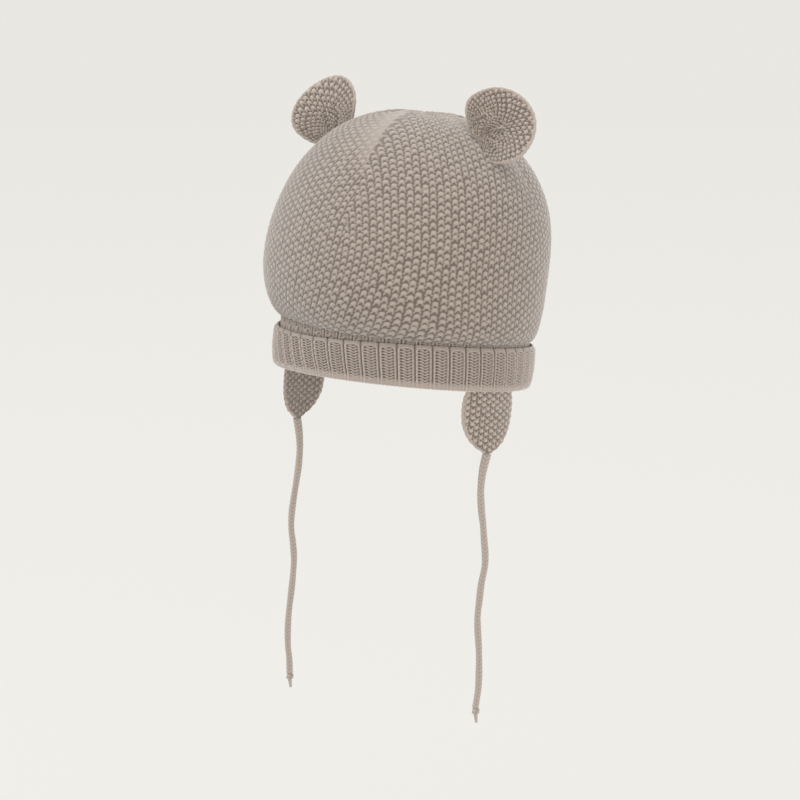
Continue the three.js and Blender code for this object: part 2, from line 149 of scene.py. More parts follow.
@dataclass(frozen=True)
class HatForm:
    """The hat's main shape: the oval of the brim and the full dome above it."""

    brim_breadth: float = 149.0
    brim_length: float = 131.0
    cuff_height: float = 23.5
    band_show: float = 4.0
    show_turn_deg: float = -25.0
    show_spread_deg: float = 42.0
    cuff_dip: float = 2.6
    dip_turn_deg: float = -5.0
    dip_spread_deg: float = 40.0
    rib_wall: float = 2.6
    cuff_slot: float = 0.8
    cuff_tuck: float = 1.8
    crown_breadth: float = 162.0
    crown_length: float = 141.0
    crown_height: float = 143.5
    widest_height: float = 61.0
    fullness: float = 2.22
    crown_wall: float = 3.0
    lean: float = 6.0
    lean_height: float = 50.0
    lean_spread: float = 38.0
    back_set: float = 1.2
    lean_rise: float = 14.0
    gather_count: int = 12
    gather_depth: float = 1.6
    gather_place: float = 0.2
    gather_spread: float = 0.13
    decrease_lines: int = 4
    decrease_depth: float = 1.0
    decrease_turn_deg: float = 12.5
    decrease_spread: float = 0.3
    decrease_fade_power: float = 1.8
    front_raise_deg: float = 7.0
    seam_gap: float = 0.3

    @property
    def band_inset(self) -> float:
        """How far the inner face of the band lies inside the cuff's outer face."""
        return 2 * self.rib_wall + self.cuff_slot

    @property
    def fold_inset(self) -> float:
        """How far the fold's lowest line lies inside the cuff's outer face."""
        return (self.band_inset + self.cuff_tuck) / 2

    def dip(self, turn: Array) -> Array:
        """How far the cuff's top edge sinks at the front, a bump over the turn."""
        from_dip = turn_between(turn, np.radians(self.dip_turn_deg))
        return self.cuff_dip * bump(from_dip, np.radians(self.dip_spread_deg))

    def band_top(self, turn: Array) -> Array:
        """Top of the inner band: the cuff's, a gap, and a rise round the turn where the band shows."""
        spread = np.radians(self.show_spread_deg)
        share = bump(turn_between(turn, np.radians(self.show_turn_deg)), spread)
        return self.cuff_height + self.seam_gap + self.band_show * share - self.dip(turn)

    def crown_lean(self, height: Array, above_lip: Array) -> Array:
        """Forward lean: a belly of bell form over the height, less a back set, growing above the lip."""
        belly = self.lean * bump(height - self.lean_height, self.lean_spread) - self.back_set
        return belly * (1 - np.exp(-np.maximum(above_lip, 0) / self.lean_rise))

    def sink(self, turn: Array, climb: Array) -> Array:
        """Depth of the decrease lines and the dents together, in millimetres."""
        fade = np.sin(np.pi * np.clip(climb, 0, 1) ** self.decrease_fade_power)
        from_line = np.sin(self.decrease_lines * (turn - np.radians(self.decrease_turn_deg)) / 2)
        depth = self.decrease_depth * fade * bump(from_line, self.decrease_spread)
        for dent in DENTS:
            aside = turn_between(turn, np.radians(dent.turn_deg))
            across = bump(aside, np.radians(dent.spread_deg))
            depth = depth + dent.depth * across * bump(climb - dent.climb, dent.spread_climb)
        return depth

    def crown(self, turn: Array, climb: Array) -> Array:
        """Outer face of the crown in millimetres, over the turn from the front and the climb.

        Climb -1 is the lip, 0 the widest ring and 1 the top. With angle = |climb| quarter turns, the
        half sizes follow cos(angle)^(2/fullness) and the height sin(angle)^(2/fullness). Below the
        widest ring the half sizes run in to the band's. Gathers and dents pull the face in.
        """
        turn, climb = np.broadcast_arrays(turn, climb)
        angle = np.abs(climb) * QUARTER_TURN
        across = np.clip(np.cos(angle), 0, None) ** (2 / self.fullness)
        along = np.sin(angle) ** (2 / self.fullness)
        lip = self.band_top(turn) + self.seam_gap
        below = climb < 0
        lip_breadth = self.brim_breadth / 2 - self.band_inset
        lip_length = self.brim_length / 2 - self.band_inset
        half_breadth = self.crown_breadth / 2 * across + np.where(below, lip_breadth * (1 - across), 0)
        half_length = self.crown_length / 2 * across + np.where(below, lip_length * (1 - across), 0)
        upper = self.widest_height + (self.crown_height - self.widest_height) * along
        height = np.where(below, self.widest_height - (self.widest_height - lip) * along, upper)
        closing = np.where(below, 0, self.gather_depth)
        folds = (1 - np.cos(self.gather_count * turn)) / 2
        drop = closing * bump(across - self.gather_place, self.gather_spread) * folds
        drop = drop + closing * bump(across, self.gather_spread)
        shrink = 1 - self.sink(turn, climb) / (self.crown_breadth / 2)
        points = on_oval(turn, half_breadth * shrink, half_length * shrink, height - drop)
        points[..., 1] -= self.crown_lean(height, height - lip)
        return points

    def crown_reach(self, points: Array) -> Array:
        """How far out a point above the widest ring lies: below 1 it is inside the crown.

        With across = the point's share of the half sizes and along = its share of the height, the
        reach is (across^fullness + along^fullness)^(1/fullness).
        """
        height = points[..., 2]
        back = points[..., 1] + self.crown_lean(height, height)
        east = points[..., 0] / (self.crown_breadth / 2)
        north = back / (self.crown_length / 2)
        along = (height - self.widest_height) / (self.crown_height - self.widest_height)
        along = np.clip(along, 0, None)
        across = np.hypot(east, north)
        turn = np.arctan2(east, -north)
        climb = np.arctan2(along ** (self.fullness / 2), np.clip(across, 1e-6, None) ** (self.fullness / 2))
        shrink = 1 - self.sink(turn, climb / QUARTER_TURN) / (self.crown_breadth / 2)
        reach = (across / shrink) ** self.fullness + along**self.fullness
        return reach ** (1 / self.fullness)

    def worn(self, points: Array) -> Array:
        """Turns the hat's own points by the front's raise about X and makes them metres."""
        raise_angle = np.radians(self.front_raise_deg)
        x, y, z = points[..., 0], points[..., 1], points[..., 2]
        back = y * np.cos(raise_angle) + z * np.sin(raise_angle)
        up = z * np.cos(raise_angle) - y * np.sin(raise_angle)
        return np.stack([x, back, up], axis=-1) * MM


FORM = HatForm()


@dataclass
class Shell:
    """A closed mesh gathered from grids, with each point's relief and place in the knitting."""

    name: str
    points: list[Array] = field(default_factory=list)
    reliefs: list[Array] = field(default_factory=list)
    stitches: list[Array] = field(default_factory=list)
    normals: list[Array] = field(default_factory=list)
    faces: list[Array] = field(default_factory=list)
    count: int = 0

    def add(self, points: Array, relief: Array, stitch: Array, normals: Array | None = None) -> Array:
        """Adds a grid of points in metres and returns their numbers in the same grid.

        The relief is 0 in the deepest gap and 1 on top of the yarn, and the stitch is its wale and
        row. Normals are given only where seams between shells must shade alike.
        """
        shape = points.shape[:-1]
        total = int(np.prod(shape))
        self.points.append(points.reshape(-1, 3))
        self.reliefs.append(np.broadcast_to(relief, shape).reshape(-1))
        self.stitches.append(np.broadcast_to(stitch, shape + (2,)).reshape(-1, 2))
        if normals is not None:
            self.normals.append(normals.reshape(-1, 3))
        numbers = np.arange(self.count, self.count + total).reshape(shape)
        self.count += total
        return numbers

    def weave(self, grid: Array, wrap: bool = False) -> None:
        """Adds a four-cornered face for each cell of a grid of point numbers."""
        nxt = np.roll(grid, -1, axis=1) if wrap else grid[:, 1:]
        here = grid if wrap else grid[:, :-1]
        cells = [here[:-1], nxt[:-1], nxt[1:], here[1:]]
        self.faces.append(np.stack(cells, axis=-1).reshape(-1, 4))

    def fan(self, ring: Array, tip: int, wrap: bool, flip: bool) -> None:
        """Joins a row of points to one tip."""
        nxt = np.roll(ring, -1) if wrap else ring[1:]
        here = ring if wrap else ring[:-1]
        pair = [nxt, here] if flip else [here, nxt]
        self.faces.append(np.stack([*pair, np.full_like(here, tip)], axis=-1))

    def cap(self, ring: Array, point: Array, relief: float, flip: bool) -> None:
        """Closes a whole ring of points with a fan to one new point."""
        tip = self.add(point.reshape(1, 3), relief, NO_STITCH)[0]
        self.fan(ring, tip, wrap=True, flip=flip)

    def hem(self, fine: Array, coarse: Array, flip: bool) -> None:
        """Joins a row of points to one with half as many steps, three triangles to each coarse step."""
        first, mid, last = fine[:-2:2], fine[1:-1:2], fine[2::2]
        start, end = coarse[:-1], coarse[1:]
        corners = [(start, mid, first), (start, end, mid), (end, last, mid)]
        for corner in corners:
            order = corner[::-1] if flip else corner
            self.faces.append(np.stack(order, axis=-1))

    def build(self, material: Material) -> bpy.types.Object:
        """Makes the linked Blender object, smooth shaded, faces outwards, at the origin."""
        points = np.concatenate(self.points)
        relief = np.concatenate(self.reliefs)
        stitch = np.concatenate(self.stitches)
        volume = 0.0
        for faces in self.faces:
            a = points[faces[:, 0]]
            for corner in range(1, faces.shape[1] - 1):
                b, c = points[faces[:, corner]], points[faces[:, corner + 1]]
                volume += float(np.einsum("ij,ij->i", a, np.cross(b, c)).sum())
        faces_out = [f if volume > 0 else f[:, ::-1] for f in self.faces]
        corners = np.concatenate([f.reshape(-1) for f in faces_out]).astype(np.int32)
        sizes = np.concatenate([np.full(len(f), f.shape[1], np.int32) for f in faces_out])
        starts = np.concatenate([[0], np.cumsum(sizes)[:-1]]).astype(np.int32)
        mesh = bpy.data.meshes.new(self.name)
        mesh.vertices.add(len(points))
        mesh.vertices.foreach_set("co", points.astype(np.float32).reshape(-1))
        mesh.loops.add(len(corners))
        mesh.loops.foreach_set("vertex_index", corners)
        mesh.polygons.add(len(sizes))
        mesh.polygons.foreach_set("loop_start", starts)
        mesh.polygons.foreach_set("loop_total", sizes)
        mesh.polygons.foreach_set("use_smooth", np.ones(len(sizes), bool))
        mesh.update(calc_edges=True)
        layer = mesh.uv_layers.new(name=STITCH_MAP)
        layer.data.foreach_set("uv", stitch[corners].astype(np.float32).reshape(-1))
        attribute = mesh.attributes.new(RELIEF_NAME, "FLOAT", "POINT")
        attribute.data.foreach_set("value", relief.astype(np.float32))
        if self.normals:
            mesh.normals_split_custom_set_from_vertices(np.concatenate(self.normals).tolist())
        mesh.materials.append(material)
        piece = bpy.data.objects.new(self.name, mesh)
        bpy.context.scene.collection.objects.link(piece)
        LOG.info("%s: %d triangles", self.name, int((sizes - 2).sum()))
        return piece

    def stand_in(self, material: Material, node: str, slot: str) -> bpy.types.Object:
        """Builds the piece in place of a node's plain solid."""
        piece = self.build(material)
        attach(piece, "root")
        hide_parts(node)
        return piece


@dataclass(frozen=True)
class SeedStitch:
    """Seed stitch: a block of yarn on every other stitch, its two legs spreading to the row below.

    The sizes of block and legs are millimetres on a drawn stitch, and scale with the wale and the
    row. Depth is the relief's height in millimetres, and level the relief that lies on the form.
    """

    wale: float = 3.68
    row: float = 1.95
    drawn_wale: float = 3.68
    drawn_row: float = 1.88
    body_width: float = 3.0
    body_height: float = 2.4
    body_power: float = 2.3
    dome_power: float = 0.45
    foot_spread: float = 0.12
    leg_width: float = 1.1
    leg_start: float = -0.6
    leg_level: float = 0.76
    leg_fall: float = 0.2
    left_leg: tuple[float, float] = (-1.45, -2.0)
    right_leg: tuple[float, float] = (1.3, -1.9)
    join_power: int = 6
    floor: float = 0.08
    highest: float = 1.15
    depth: float = 1.1
    level: float = 0.66
    shake: float = 0.19
    size_shake: float = 0.06
    seed: int = 7
    table: int = 97

    def leg(self, dx: Array, dy: Array, foot: tuple[float, float]) -> Array:
        """Round yarn from under the block to the foot: sqrt(1 - (distance / half width)^2), fading down."""
        start = np.array([0.5 * foot[0], self.leg_start])
        run = np.array(foot) - start
        share = ((dx - start[0]) * run[0] + (dy - start[1]) * run[1]) / (run @ run)
        share = np.clip(share, 0, 1)
        aside = np.hypot(dx - start[0] - share * run[0], dy - start[1] - share * run[1])
        round_top = np.sqrt(np.clip(1 - (2 * aside / self.leg_width) ** 2, 0, 1))
        return (self.leg_level - self.leg_fall * share) * round_top

    def body(self, dx: Array, dy: Array) -> Array:
        """The block: a dome on a rounded rectangle that is a little wider at its foot."""
        width = self.body_width / 2 * (1 - self.foot_spread * 2 * dy / self.body_height)
        block = np.abs(dx / width) ** self.body_power + np.abs(2 * dy / self.body_height) ** self.body_power
        return np.clip(1 - block, 0, 1) ** self.dome_power

    def relief(self, wale: Array, row: Array) -> Array:
        """Height of the knitting at a wale and a row: 0 in the gaps, about 1 on the blocks.

        Each block sits where wale + row is even, moved and sized a little by seeded tables. The
        heights h of the nearest blocks and legs and of an even floor are joined as
        (sum of h^6)^(1/6), which keeps the highest.
        """
        rng = np.random.default_rng(self.seed)
        moves = rng.normal(0, self.shake, (self.table, self.table, 2))
        grows = 1 + rng.normal(0, self.size_shake, (self.table, self.table))
        total = np.full_like(wale, self.floor**self.join_power)
        middle = np.round(wale)
        for aside in (-1, 0, 1):
            i = middle + aside
            odd = np.mod(i, 2)
            nearest = 2 * np.round((row - odd) / 2) + odd
            for above in (0, 2):
                j = nearest + above
                cell = (np.mod(i, self.table).astype(int), np.mod(j, self.table).astype(int))
                dx = (wale - i) * self.drawn_wale - moves[cell][..., 0]
                dy = (row - j) * self.drawn_row - moves[cell][..., 1]
                for part in (
                    grows[cell] * self.body(dx, dy),
                    self.leg(dx, dy, self.left_leg),
                    self.leg(dx, dy, self.right_leg),
                ):
                    total += np.clip(part, 0, None) ** self.join_power
        return np.clip(total ** (1 / self.join_power), 0, self.highest)


def yarn_noise(turn: Array, height: Array, seed: int, size: float) -> Array:
    """A slow wander of the knitting: five seeded sine waves over turn and height, about -1 to 1."""
    rng = np.random.default_rng(seed)
    total = np.zeros(np.broadcast(turn, height).shape)
    for _ in range(5):
        count = rng.integers(1, 7)
        pace = rng.normal(0, 1) / size
        phase = rng.uniform(0, FULL_TURN)
        total = total + np.sin(count * turn + pace * height + phase) / 2.5
    return total


def set_inputs(node: bpy.types.Node, values: dict[str, object]) -> None:
    """Sets inputs of a node by their names."""
    for name, value in values.items():
        node.inputs[name].default_value = value


@dataclass(frozen=True)
class KnitFinish:
    """Matte cotton yarn: the yarn's colour on its top, painted shade on its flank and in the gap, and its
    fuzz.
    """

    name: str
    top: tuple[float, float, float]
    # The flank and gap colours are painted shade: darker yarn on the sides of each stitch and in the gaps,
    # mixed in by relief.
    flank: tuple[float, float, float]
    gap: tuple[float, float, float]
    fuzz: float = 0.35
    fuzz_height: float = 0.4
    mottle: float = 0.1
    roughness: float = 0.93
    specular: float = 0.25
    sheen: float = 0.8
    sheen_roughness: float = 0.5

    def material(self) -> Material:
        """Makes the material: colours by relief, with painted shade on the flanks and in the gaps, and
        mottle, bumps of fibre, and a soft sheen.
        """
        material = bpy.data.materials.new(self.name)
        material.use_nodes = True
        tree = material.node_tree
        shader = tree.nodes["Principled BSDF"]
        set_inputs(shader, {"Roughness": self.roughness, "Specular IOR Level": self.specular})
        set_inputs(shader, {"Sheen Weight": self.sheen, "Sheen Roughness": self.sheen_roughness})
        relief = tree.nodes.new("ShaderNodeAttribute")
        relief.attribute_name = RELIEF_NAME
        colour = tree.nodes.new("ShaderNodeGroup")
        colour.node_tree = yarn_colour_group()
        set_inputs(colour, {"Top": (*self.top, 1), "Flank": (*self.flank, 1)})
        set_inputs(colour, {"Gap": (*self.gap, 1), "Mottle": self.mottle})
        fibres = tree.nodes.new("ShaderNodeGroup")
        fibres.node_tree = fibre_group()
        bumps = tree.nodes.new("ShaderNodeBump")
        set_inputs(bumps, {"Strength": self.fuzz, "Distance": self.fuzz_height * MM})
        tree.links.new(relief.outputs["Fac"], colour.inputs["Relief"])
        tree.links.new(colour.outputs["Colour"], shader.inputs["Base Color"])
        tree.links.new(fibres.outputs["Height"], bumps.inputs["Height"])
        tree.links.new(bumps.outputs["Normal"], shader.inputs["Normal"])
        return material


def new_group(name: str, inputs: dict[str, str], output: tuple[str, str]) -> Tree:
    """Makes an empty shader node group from its inputs' types by name and its output's name and type."""
    group = bpy.data.node_groups.new(name, "ShaderNodeTree")
    for socket, kind in inputs.items():
        group.interface.new_socket(socket, in_out="INPUT", socket_type=kind)
    group.interface.new_socket(output[0], in_out="OUTPUT", socket_type=output[1])
    group.nodes.new("NodeGroupInput")
    group.nodes.new("NodeGroupOutput")
    return group


def math_node(tree: Tree, operation: str, *values: object) -> Socket:
    """Adds a Math node whose inputs are sockets or numbers, and returns its output."""
    node = tree.nodes.new("ShaderNodeMath")
    node.operation = operation
    for socket, value in zip(node.inputs, values):
        if isinstance(value, (int, float)):
            socket.default_value = value
        else:
            tree.links.new(value, socket)
    return node.outputs[0]


def noise_node(tree: Tree, scale: float, detail: float) -> Socket:
    """Adds a Noise Texture on the object's coordinates and returns its value from 0 to 1."""
    node = tree.nodes.new("ShaderNodeTexNoise")
    set_inputs(node, {"Scale": scale, "Detail": detail, "Roughness": 0.6})
    place = tree.nodes.new("ShaderNodeTexCoord")
    tree.links.new(place.outputs["Object"], node.inputs["Vector"])
    return node.outputs["Fac"]


def mix_colours(tree: Tree, share: Socket, low: Socket, high: Socket) -> Socket:
    """Adds a colour Mix node and returns its result."""
    node = tree.nodes.new("ShaderNodeMix")
    node.data_type = "RGBA"
    tree.links.new(share, node.inputs["Factor"])
    tree.links.new(low, node.inputs["A"])
    tree.links.new(high, node.inputs["B"])
    return node.outputs["Result"]


def ramp_up(tree: Tree, value: Socket, low: float, high: float) -> Socket:
    """Adds a smooth Map Range from low to high and returns its 0 to 1 result."""
    node = tree.nodes.new("ShaderNodeMapRange")
    node.interpolation_type = "SMOOTHSTEP"
    set_inputs(node, {"From Min": low, "From Max": high})
    tree.links.new(value, node.inputs["Value"])
    return node.outputs["Result"]


def yarn_colour_group() -> Tree:
    """The yarn's colour with painted shade: dark gap shade to flank shade to the top's colour by relief, with
    slow mottle and fine fibre tones.

    The tone is 1 + mottle (0.8 slow noise + 1.2 fine noise - 1).
    """
    name = "yarn_colour_and_painted_shade"
    if name in bpy.data.node_groups:
        return bpy.data.node_groups[name]
    colour, number = "NodeSocketColor", "NodeSocketFloat"
    inputs = {"Relief": number, "Top": colour, "Flank": colour, "Gap": colour, "Mottle": number}
    group = new_group(name, inputs, ("Colour", colour))
    given = group.nodes["Group Input"].outputs
    # Painted shade: low relief mixes towards the dark gap shade and middle relief towards the flank shade.
    to_flank = ramp_up(group, given["Relief"], 0.05, 0.62)
    to_top = ramp_up(group, given["Relief"], 0.55, 1.0)
    low = mix_colours(group, to_flank, given["Gap"], given["Flank"])
    plain = mix_colours(group, to_top, low, given["Top"])
    slow = math_node(group, "MULTIPLY", noise_node(group, 70, 2), 0.8)
    fine = math_node(group, "MULTIPLY", noise_node(group, 1500, 3), 1.2)
    tone = math_node(group, "SUBTRACT", math_node(group, "ADD", slow, fine), 1.0)
    bright = math_node(group, "ADD", math_node(group, "MULTIPLY", tone, given["Mottle"]), 1.0)
    scale = group.nodes.new("ShaderNodeVectorMath")
    scale.operation = "SCALE"
    group.links.new(plain, scale.inputs[0])
    group.links.new(bright, scale.inputs["Scale"])
    group.links.new(scale.outputs["Vector"], group.nodes["Group Output"].inputs["Colour"])
    return group


def fibre_group() -> Tree:
    """Height of the yarn's fibres: a very fine noise, from 0 to 1."""
    name = "yarn_fibre"
    if name in bpy.data.node_groups:
        return bpy.data.node_groups[name]
    group = new_group(name, {}, ("Height", "NodeSocketFloat"))
    group.links.new(noise_node(group, 2600, 3), group.nodes["Group Output"].inputs["Height"])
    return group


@dataclass(frozen=True)
class Crown:
    """The dome of seed stitch: a closed shell for each panel between two decrease lines."""

    panels: int = FORM.decrease_lines
    columns: int = 192
    rows: int = 308
    wales: int = 32
    last_climb: float = 0.985
    full_climb: float = 0.9
    calm: float = 0.45
    lean: float = 0.08
    pull: float = 0.57
    pull_turn_deg: float = 0.0
    pull_spread_deg: float = 45.0
    pull_rise: float = 15.0
    pull_length: float = 37.0
    fall: float = 0.15
    fall_place_deg: float = 15.5
    fall_spread_deg: float = 28.0
    fall_rise: float = 28.0
    fall_onset: float = 20.0
    mitre: float = 0.5
    wander: float = 0.25
    wale_wander: tuple[int, float] = (11, 26)
    row_wander: tuple[int, float] = (12, 22)
    line_climbs: tuple[float, float] = (0.28, 0.6)
    line_width: float = 1.1
    line_level: float = 0.74
    flat_level: float = 0.78
    flats: tuple[tuple[float, float], ...] = ((0.42, 8.0), (0.3, 22.0))
    hole_place: float = 1.3
    hole_width: float = 1.1
    hole_depth: float = 0.6
    inner_relief: float = 0.7
    top_relief: float = 0.5
    stitch: SeedStitch = SeedStitch()

    def rise(self, climbs: Array) -> Array:
        """Distance of each climb up the dome's mean line, half a quarter turn from the front."""
        return run_along(FORM.crown(np.full_like(climbs, QUARTER_TURN / 2), climbs))

    def grid(self) -> tuple[Array, Array, Array]:
        """Turn of every column, climb of every row at even distances, and each row's rise."""
        fine = np.linspace(-1, self.last_climb, 2000)
        length = self.rise(fine)
        climbs = np.interp(np.linspace(0, length[-1], self.rows + 1), length, fine)
        count = self.panels * self.columns
        turns = np.radians(FORM.decrease_turn_deg) + FULL_TURN * np.arange(count) / count
        return turns[None, :], climbs[:, None], self.rise(climbs)[:, None]

    def stitches(self, turn: Array, climb: Array, rise: Array) -> tuple[Array, Array, Array, Array]:
        """Wale and row of every point, and its distances to the decrease lines of its panel.

        Above the widest ring a panel is treated as a gore of a ball. With colatitude p and angle d
        from the panel's middle, the wale follows asin(sin p sin d) and the row, by the share mitre,
        atan(tan p cos d), so wales run along the panel and end at the decrease lines. Below it they
        run straight down. All wales lean by lean * rise. They are also pulled aside in two places:
        near the brim by pull * depth^2 / (2 pull_length), and beside each decrease line by
        fall * over^2 / (over + fall_onset).
        """
        edge = np.radians(FORM.decrease_turn_deg)
        panel = np.floor((turn - edge) / QUARTER_TURN + 1e-9)
        aside = turn - edge - (panel + 0.5) * QUARTER_TURN
        widest = np.interp(0, climb[:, 0], rise[:, 0])
        top = rise[-1, 0]
        colatitude = np.clip((top - rise) / (top - widest), 0, 1) * QUARTER_TURN
        ball = (top - widest) / QUARTER_TURN
        along_gore = np.arctan2(np.sin(colatitude) * np.cos(aside), np.cos(colatitude))
        across = np.arcsin(np.clip(np.sin(colatitude) * np.sin(aside), -1, 1))
        from_top = (1 - self.mitre) * colatitude + self.mitre * along_gore
        height = np.where(rise > widest, top - ball * from_top, rise + 0 * turn)
        wale = (panel + 0.5) * self.wales + across * self.wales / QUARTER_TURN
        from_pull = turn_between(turn, np.radians(self.pull_turn_deg))
        pull = self.pull * bump(from_pull, np.radians(self.pull_spread_deg))
        depth = np.clip(widest + self.pull_rise - rise, 0, None)
        from_fall = aside + QUARTER_TURN / 2 - np.radians(self.fall_place_deg)
        fall = self.fall * bump(from_fall, np.radians(self.fall_spread_deg))
        over = np.clip(rise - widest - self.fall_rise, 0, None)
        shift = pull * depth**2 / (2 * self.pull_length) - fall * over**2 / (over + self.fall_onset)
        wale = wale + (shift + self.lean * (rise - widest)) / self.stitch.wale
        wale = wale + self.wander * yarn_noise(turn, rise, *self.wale_wander)
        row = height / self.stitch.row + self.wander * yarn_noise(turn, rise, *self.row_wander)
        round_here = ball * np.sin(np.clip(colatitude, 0.02, None))
        first = (QUARTER_TURN / 2 + aside) * round_here
        last = (QUARTER_TURN / 2 - aside) * round_here
        return wale, row, first, last

    def relief(self, wale: Array, row: Array, edges: tuple[Array, Array], climb: Array) -> Array:
        """Relief 0 to 1: seed stitch, flatter before a decrease line and pierced just past it."""
        first, last = edges
        fade = step_up(climb, *self.line_climbs)
        flat = sum(share * bump(last, spread) for share, spread in self.flats) * fade
        relief = blend(self.stitch.relief(wale, row), self.flat_level, flat)
        chain = self.line_level + 0.1 * np.cos(FULL_TURN * row / 2)
        relief = blend(relief, chain, bump(last, self.line_width) * fade)
        holes = 0.55 + 0.45 * np.cos(FULL_TURN * row / 4)
        pierced = bump(first - self.hole_place, self.hole_width) * holes * fade
        return relief * (1 - self.hole_depth * pierced)

    def surfaces(self) -> dict[str, Array]:
        """The outer and the inner wall of the whole crown, as grids that close round the hat."""
        turn, climb, rise = self.grid()
        wale, row, first, last = self.stitches(turn, climb, rise)
        relief = self.relief(wale, row, (first, last), climb)
        form = FORM.crown(turn, climb)
        out = grid_normals(form, wrap=True)
        below_top = step_up(climb, self.last_climb, self.full_climb)
        height = (relief - self.stitch.level) * self.stitch.depth * (1 - self.calm * below_top)
        outer = FORM.worn(form + out * height[..., None])
        inner = FORM.worn((form - out * FORM.crown_wall)[::2, ::2])
        return {
            "outer": outer,
            "outer_normals": grid_normals(outer, wrap=True),
            "inner": inner,
            "inner_normals": -grid_normals(inner, wrap=True),
            "relief": relief,
            "stitch": np.stack([wale, row], axis=-1),
        }

    def panel(self, number: int, walls: dict[str, Array]) -> Shell:
        """One panel as a closed shell: outer wall, inner wall at half the density, and its edges.

        Panels are numbered from 0, round from the decrease line at the front. The walls are what
        surfaces() returns.
        """
        fine = np.arange(number * self.columns, (number + 1) * self.columns + 1)
        coarse = fine[::2] // 2 % (self.panels * self.columns // 2)
        fine = fine % (self.panels * self.columns)
        shell = Shell(f"crown_{number + 1}")
        stitch = walls["stitch"][:, fine]
        outer = shell.add(
            walls["outer"][:, fine], walls["relief"][:, fine], stitch, walls["outer_normals"][:, fine]
        )
        inner = shell.add(
            walls["inner"][:, coarse], self.inner_relief, stitch[::2, ::2], walls["inner_normals"][:, coarse]
        )
        top = FORM.crown(np.zeros(1), np.ones(1))
        up = FORM.worn(np.array([[0.0, 0.0, 1.0]])) / MM
        tip = shell.add(FORM.worn(top), self.top_relief, NO_STITCH, up)[0]
        wall = np.array([0, 0, FORM.crown_wall])
        under = shell.add(FORM.worn(top - wall), self.top_relief, NO_STITCH, -up)[0]
        shell.weave(outer)
        shell.weave(inner[::-1])
        shell.fan(outer[-1], tip, wrap=False, flip=False)
        shell.fan(inner[-1], under, wrap=False, flip=True)
        shell.hem(outer[0], inner[0], flip=True)
        shell.hem(outer[:, 0], inner[:, 0], flip=False)
        shell.hem(outer[:, -1], inner[:, -1], flip=True)
        shell.faces.append(np.array([[outer[-1, 0], tip, under, inner[-1, 0]]]))
        shell.faces.append(np.array([[tip, outer[-1, -1], inner[-1, -1], under]]))
        return shell

    def make(self, material: Material) -> None:
        """Builds the panels in place of the crown's plain solid."""
        walls = self.surfaces()
        for number in range(self.panels):
            self.panel(number, walls).stand_in(material, "crown", "seed_knit")


